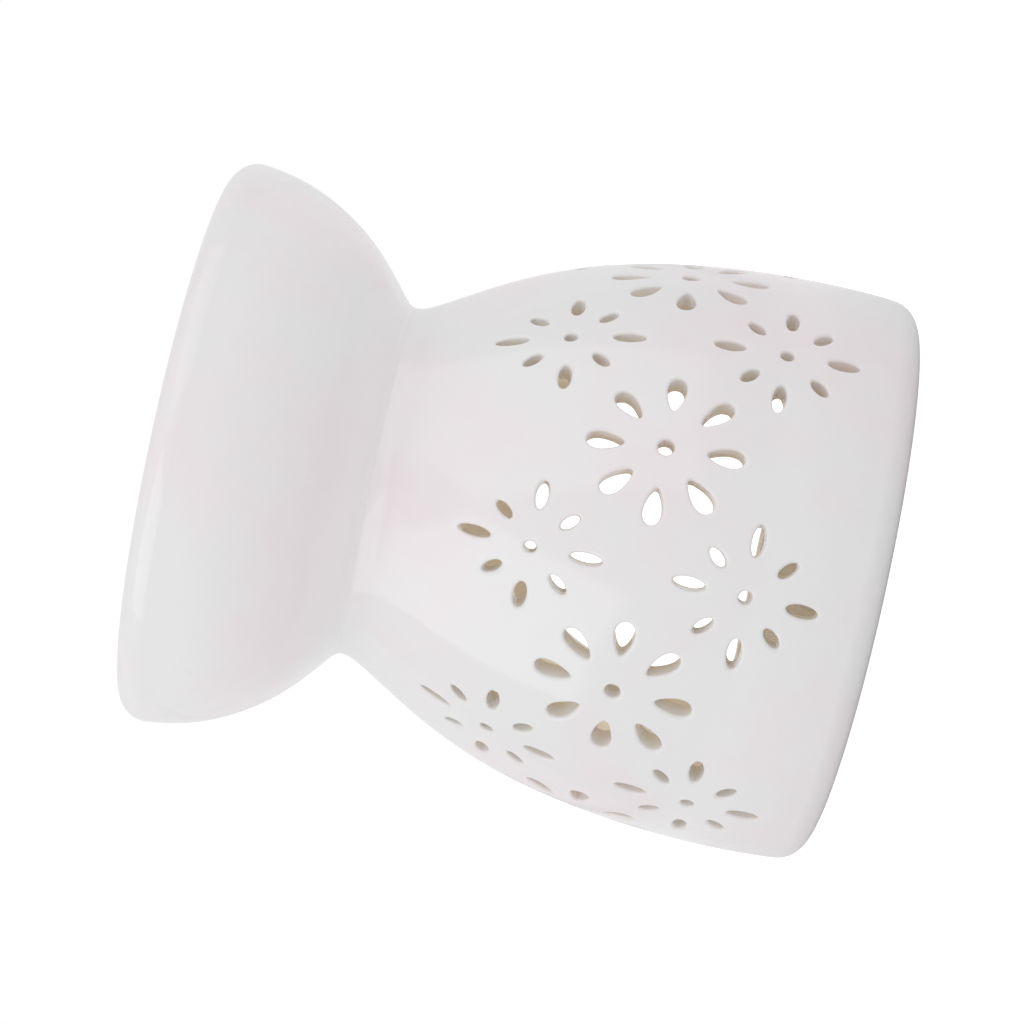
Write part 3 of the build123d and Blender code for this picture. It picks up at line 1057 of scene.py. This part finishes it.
def floor_material():
    """Pale floor that glows a little, less near the pot, and looks nearly white."""
    material, tree, shader, place = new_material("pale_floor")
    colour = mix_colours(tree, noise(tree, place, 30, 4), (0.60, 0.60, 0.60), (0.64, 0.64, 0.64))
    distance = node(tree, "VectorMath", {0: place}, operation="LENGTH").outputs["Value"]
    glow = spread(tree, distance, GLOW_DISTANCE, FLOOR_GLOW)
    seen = node(tree, "LightPath").outputs["Is Camera Ray"]
    glow = math_node(tree, "MAXIMUM", glow, times(tree, seen, FLOOR_SEEN))
    tree.links.new(colour, shader.inputs["Base Color"])
    tree.links.new(glow, shader.inputs["Emission Strength"])
    shader.inputs["Emission Color"].default_value = (1, 1, 1, 1)
    shader.inputs["Roughness"].default_value = 0.8
    return material


def make_floor():
    """Round floor, level with the pot's foot."""
    turns = [FULL_TURN * i / FLOOR_SIDES for i in range(FLOOR_SIDES)]
    ring = [(FLOOR_RADIUS * math.cos(turn), FLOOR_RADIUS * math.sin(turn), 0) for turn in turns]
    mesh = bpy.data.meshes.new("floor")
    mesh.from_pydata(ring, [], [list(range(FLOOR_SIDES))])
    mesh.materials.append(floor_material())
    new_object("floor", mesh)


def make_world():
    """White surroundings, brighter to the camera than as light."""
    world = bpy.data.worlds.new("studio")
    bpy.context.scene.world = world
    world.use_nodes = True
    tree = world.node_tree
    seen = node(tree, "LightPath").outputs["Is Camera Ray"]
    background = tree.nodes["Background"]
    background.inputs["Color"].default_value = (1, 1, 1, 1)
    strength = spread(tree, seen, (0, 1), (WORLD_LIGHT, WORLD_SEEN))
    tree.links.new(strength, background.inputs["Strength"])


def make_camera():
    """Camera at the photograph's place, rolled as the photograph is."""
    data = bpy.data.cameras.new("camera")
    data.lens = CAMERA_LENS
    data.clip_end = CAMERA_REACH
    camera = new_object("camera", data)
    right, up = Vector((math.cos(CAMERA_ANGLE), math.sin(CAMERA_ANGLE), 0)), Vector((0, 0, 1))
    back = right.cross(up)
    axes = Matrix((right, up, back)).transposed() @ Matrix.Rotation(CAMERA_ROLL, 3, "Z")
    place = (back * CAMERA_DISTANCE + right * CAMERA_SIDE + up * CAMERA_HEIGHT) * MM
    camera.matrix_world = Matrix.Translation(place) @ axes.to_4x4()
    bpy.context.scene.camera = camera


def area_light(name, size, radiance, mirrored):
    """Rectangular light that the camera doesn't see. One that isn't mirrored makes no highlight."""
    data = bpy.data.lights.new(name, "AREA")
    data.shape = "RECTANGLE"
    data.size, data.size_y = size
    data.energy = radiance * math.pi * size[0] * size[1]
    light = new_object(name, data)
    light.visible_camera = False
    light.visible_glossy = mirrored
    return light


def soft_light(name, angle, rise, distance, size, radiance, mirrored):
    """Light that faces the middle of the pot. The angles are in degrees."""
    light = area_light(name, size, radiance, mirrored)
    turn, lift = math.radians(angle) + CAMERA_ANGLE, math.radians(rise)
    flat, high = math.cos(lift) * distance, math.sin(lift) * distance
    aim = Vector((0, 0, CAMERA_HEIGHT * MM))
    light.location = aim + Vector((math.sin(turn) * flat, -math.cos(turn) * flat, high))
    light.rotation_euler = (aim - light.location).to_track_quat("-Z", "Y").to_euler()


def make_lights():
    """Two softboxes, a fill, a dim wall behind, and a light in the arch, in place of a bright wall
    behind, that shines into the chamber."""
    for light in SOFT_LIGHTS:
        soft_light(*light)
    arch_light = area_light("arch_fill", ARCH_LIGHT_SIZE, ARCH_LIGHT, False)
    arch_light.location = ARCH_LIGHT_PLACE
    arch_light.rotation_euler = (math.radians(-90), 0, 0)


build_object()
make_floor()
make_world()
make_camera()
make_lights()
bpy.context.scene.view_settings.view_transform = "Standard"
